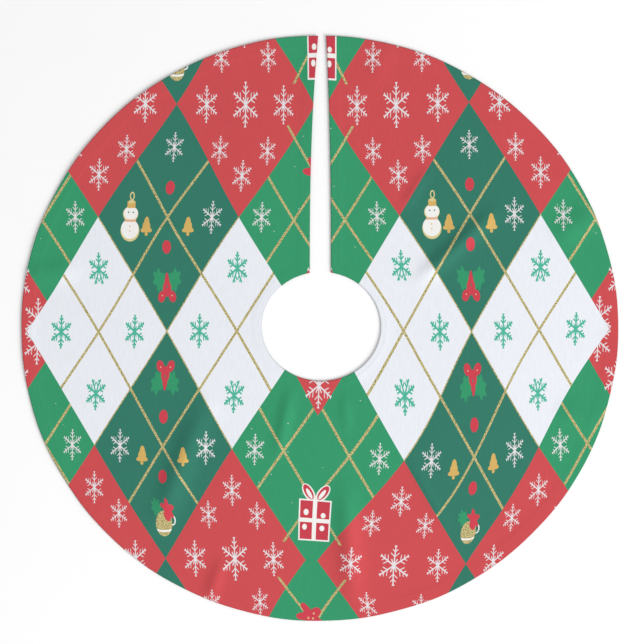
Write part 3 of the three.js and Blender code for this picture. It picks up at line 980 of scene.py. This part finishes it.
def dress(obj, slot, *materials):
    """Gives a piece its materials. The slot is not used."""
    for material in materials:
        obj.data.materials.append(material)
    return obj


front = printed_cloth()
# The side that isn't printed keeps the bare brushed fibre: white, soft and matt
back = plain_cloth("unprinted back of the polyester", "#F1F1F2", "cloth", 900.0)
thread = printed_thread()
# Twisted from short fibres: off-white, with a slight gloss on each turn of the ply
tack_thread = plain_cloth("white spun polyester thread", "#EDEAE8", None, 2500.0, 0.6)
# A satin weave floats its threads on the face, which is smooth and shiny
satin = plain_cloth("polyester satin ribbon", "#F4F1EA", "ribbon", 1500.0, 0.42, 0.5)
# A tight plain weave, cut and folded: crisp, flat and a little shiny
tab = plain_cloth("woven taffeta label", "#F7F6F2", "label", 1500.0, 0.6)

skirt_cloth = dress(main_cloth(), "printed_cloth", front, back)
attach(skirt_cloth, "skirt")
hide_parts("printed_panel", "outer_hem", "neck_hem")

row_ends = (FOLD + RIM_ROW_GAP, 2 * math.pi - FOLD - RIM_ROW_GAP)
outer_row = stitch_row("outer_hem_stitches", hem_path(rim_point, RIM_ROW, *row_ends))
dress(outer_row, "polyester_thread", thread)
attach(outer_row, "skirt")
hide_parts("outer_hem_stitching")
row_ends = (FOLD + NECK_ROW_GAP, 2 * math.pi - FOLD - NECK_ROW_GAP)
neck_row = stitch_row("neck_hem_stitches", hem_path(neck_point, NECK_ROW, *row_ends))
dress(neck_row, "polyester_thread", thread)
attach(neck_row, "skirt")
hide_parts("neck_hem_stitching")
label, label_size = care_tab()
dress(label, "woven_label", tab)
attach(label, "skirt")
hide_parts("care_label")

for side in ("left", "right"):
    sign = SIGN[side]
    flap = dress(flap_cloth(side), "printed_cloth", front, back)
    neck_edge, rim_edge = slit_bearing(side, np.array([0.0, 1.0]))
    rim_start = rim_edge + sign * SLIT_ROW / RIM_HALF[1]
    neck_start = neck_edge + sign * SLIT_ROW / NECK_HALF[1]
    rows = (
        ("outer", hem_path(rim_point, RIM_ROW, rim_start, sign * (FOLD - RIM_ROW_GAP))),
        ("neck", hem_path(neck_point, NECK_ROW, neck_start, sign * (FOLD - NECK_ROW_GAP))),
        ("slit", slit_path(side)),
    )
    pieces = [flap]
    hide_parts(*(f"{side}_{part}" for part in ("flap_panel", "outer_hem", "neck_hem", "slit_hem")))
    for part, path in rows:
        row = dress(stitch_row(f"{side}_{part}_hem_stitches", path), "polyester_thread", thread)
        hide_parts(f"{side}_{part}_hem_stitching")
        pieces.append(row)
    for piece in pieces:
        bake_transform(piece)
    for place in ("neck", "rim"):
        ribbon, size = ribbon_tie(side, place)
        dress(ribbon, "satin_ribbon", satin)
        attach(ribbon, f"{side}_{place}_tie")
        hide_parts(f"{side}_{place}_tie")
        tack = dress(bar_tack(side, place), "polyester_thread", tack_thread)
        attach(tack, side + "_flap")
        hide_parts(f"{side}_{place}_tie_tack")


# ---------------------------------------------------------------- floor, light and camera

FLOOR_HALF = 25.0


def floor_plane():
    """A roll of uncoated paper, pale and without gloss: one large square face under the cloth."""
    corners = FLOOR_HALF * np.array([[-1, -1, 0], [1, -1, 0], [1, 1, 0], [-1, 1, 0]])
    obj = mesh_object("floor", corners, [[0, 1, 2, 3]])
    material, tree = new_material("matt white paper")
    grain = add(tree, "TexNoise", add(tree, "TexCoord").outputs["Object"], 8.0)
    tone = add(tree, "Mix", grain, colour("#FDFDFD"), colour("#FFFFFF"), data_type="RGBA")
    shader = add(tree, "BsdfPrincipled", tone)
    shader.inputs["Roughness"].default_value = 0.9
    shader.inputs["Specular IOR Level"].default_value = 0.1
    add(tree, "OutputMaterial", shader)
    obj.data.materials.append(material)


floor_plane()

world = bpy.data.worlds.new("soft studio")
bpy.context.scene.world = world
world.use_nodes = True
world.node_tree.nodes.clear()
add(world.node_tree, "OutputWorld", add(world.node_tree, "Background", (1, 1, 1, 1), 0.61))


def soft_light(name, place, size, power):
    """A square area light aimed at the middle of the skirt."""
    lamp = bpy.data.lights.new(name, "AREA")
    lamp.size = size
    lamp.energy = power
    obj = bpy.data.objects.new(name, lamp)
    obj.location = place
    target = -np.array(place) / np.linalg.norm(place)
    obj.rotation_euler = (math.acos(-target[2]), 0, math.atan2(-target[0], target[1]))
    bpy.context.scene.collection.objects.link(obj)


soft_light("window light", (6.7, -5.0, 4.2), 5.0, 860)

VIEW_WIDTH = 1.211
LENS = 75
SENSOR = 36
VIEW_CENTRE = (0.0043, 0.0117)
camera = bpy.data.cameras.new("camera")
camera.lens = LENS
camera.sensor_width = SENSOR
viewer = bpy.data.objects.new("camera", camera)
viewer.location = (*VIEW_CENTRE, VIEW_WIDTH * LENS / SENSOR + CLOTH_TOP)
bpy.context.scene.collection.objects.link(viewer)
bpy.context.scene.camera = viewer
bpy.context.scene.view_settings.view_transform = "Standard"
